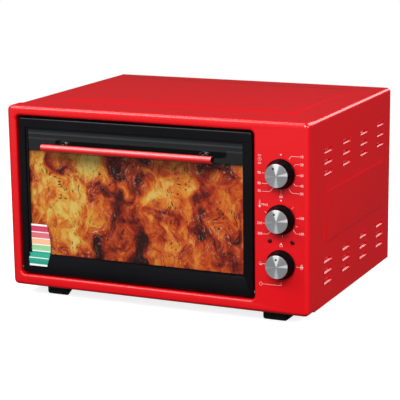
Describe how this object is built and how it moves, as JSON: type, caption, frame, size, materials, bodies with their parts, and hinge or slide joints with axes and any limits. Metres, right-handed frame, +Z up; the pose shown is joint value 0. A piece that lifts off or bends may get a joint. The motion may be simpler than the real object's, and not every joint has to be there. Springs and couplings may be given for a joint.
{
  "type": "electric oven",
  "caption": "Electric bench-top oven: a red pressed-steel cabinet on feet, with a drop-down glass door, a red handle bar and a column of control knobs on the right.",
  "frame": {"origin": "on the ground, at the middle of the overall box of the oven with its door closed", "axes": "+X to the right seen from the front, +Y to the back, +Z up"},
  "size_m": [0.5, 0.4084, 0.3055],
  "materials": {
    "red_paint": "gloss baked enamel",
    "black_enamel": "semi-gloss baked enamel",
    "tray_enamel": "speckled gloss enamel",
    "cavity_enamel": "speckled grey enamel",
    "galvanised_sheet": "galvanised",
    "bright_steel": "zinc plated",
    "chrome": "bright plated",
    "brushed_aluminium": "radially brushed",
    "bell_steel": "nickel plated",
    "capillary_copper": "drawn",
    "element_sheath": "oxidised",
    "door_glass": "clear toughened, with a black printed border",
    "window_card": "printed",
    "knob_plastic": "gloss",
    "black_plastic": "moulded",
    "pilot_red": "translucent",
    "foot_rubber": "matt moulded",
    "seal_silicone": "matt",
    "porcelain": "unglazed",
    "loom_sleeve": "woven sleeve"
  },
  "bodies": {
    "cabinet": {"baking_tray": "tray_enamel", "base_pan": "galvanised_sheet", "cable_gland": "black_plastic", "cavity_support": "galvanised_sheet", "door_seal": "seal_silicone", "door_spring_left": "bright_steel", "door_spring_right": "bright_steel", "element_hook_lower": "bright_steel", "element_hook_upper": "bright_steel", "element_plate_lower": "porcelain", "element_plate_upper": "porcelain", "foot_front_left": "foot_rubber", "foot_front_right": "foot_rubber", "foot_rear_left": "foot_rubber", "foot_rear_right": "foot_rubber", "front_frame": "red_paint", "heat_shield": "galvanised_sheet", "heating_element_lower": "element_sheath", "heating_element_upper": "element_sheath", "hinge_bush_left": "black_plastic", "hinge_bush_right": "black_plastic", "outer_cover": "red_paint", "oven_cavity": "cavity_enamel", "pilot_lamp_left": "pilot_red", "pilot_lamp_right": "pilot_red", "rear_panel": "galvanised_sheet", "selector_body": "black_plastic", "terminal_block": "porcelain", "thermostat_body": "porcelain", "thermostat_capillary": "capillary_copper", "timer_bell": "bell_steel", "timer_body": "bright_steel", "wire_rack": "chrome", "wiring_loom": "loom_sleeve"},
    "door": {"door_frame": "black_enamel", "door_glass": "door_glass", "window_card": "window_card", "door_inner_panel": "bright_steel", "handle_bar": "red_paint", "handle_backing": "knob_plastic", "handle_post_left": "chrome", "handle_post_right": "chrome", "handle_screw_left": "bright_steel", "handle_screw_right": "bright_steel", "door_hinge_left": "bright_steel", "door_hinge_right": "bright_steel", "hinge_lever_left": "bright_steel", "hinge_lever_right": "bright_steel"},
    "timer_knob": {"knob_timer": "knob_plastic", "knob_cap_timer": "brushed_aluminium", "timer_shaft": "bright_steel"},
    "thermostat_knob": {"knob_thermostat": "knob_plastic", "knob_cap_thermostat": "brushed_aluminium", "thermostat_shaft": "bright_steel"},
    "selector_knob": {"knob_selector": "knob_plastic", "knob_cap_selector": "brushed_aluminium", "selector_shaft": "bright_steel"}
  },
  "joints": [
    {"name": "door_hinge", "type": "hinge", "parent": "cabinet", "child": "door", "pos_m": [-0.03525, -0.17015, 0.046], "axis": [1, 0, 0], "range_deg": [0, 90], "stiffness_Nm_per_rad": 0.4, "springref_deg": -28.65},
    {"name": "timer_turn", "type": "hinge", "parent": "cabinet", "child": "timer_knob", "pos_m": [0.20725, -0.17915, 0.23031], "axis": [0, 1, 0], "range_deg": [0, 270]},
    {"name": "thermostat_turn", "type": "hinge", "parent": "cabinet", "child": "thermostat_knob", "pos_m": [0.20725, -0.17915, 0.16286], "axis": [0, 1, 0], "range_deg": [0, 300]},
    {"name": "selector_turn", "type": "hinge", "parent": "cabinet", "child": "selector_knob", "pos_m": [0.20725, -0.17915, 0.09542], "axis": [0, 1, 0], "range_deg": [0, 270]}
  ]
}
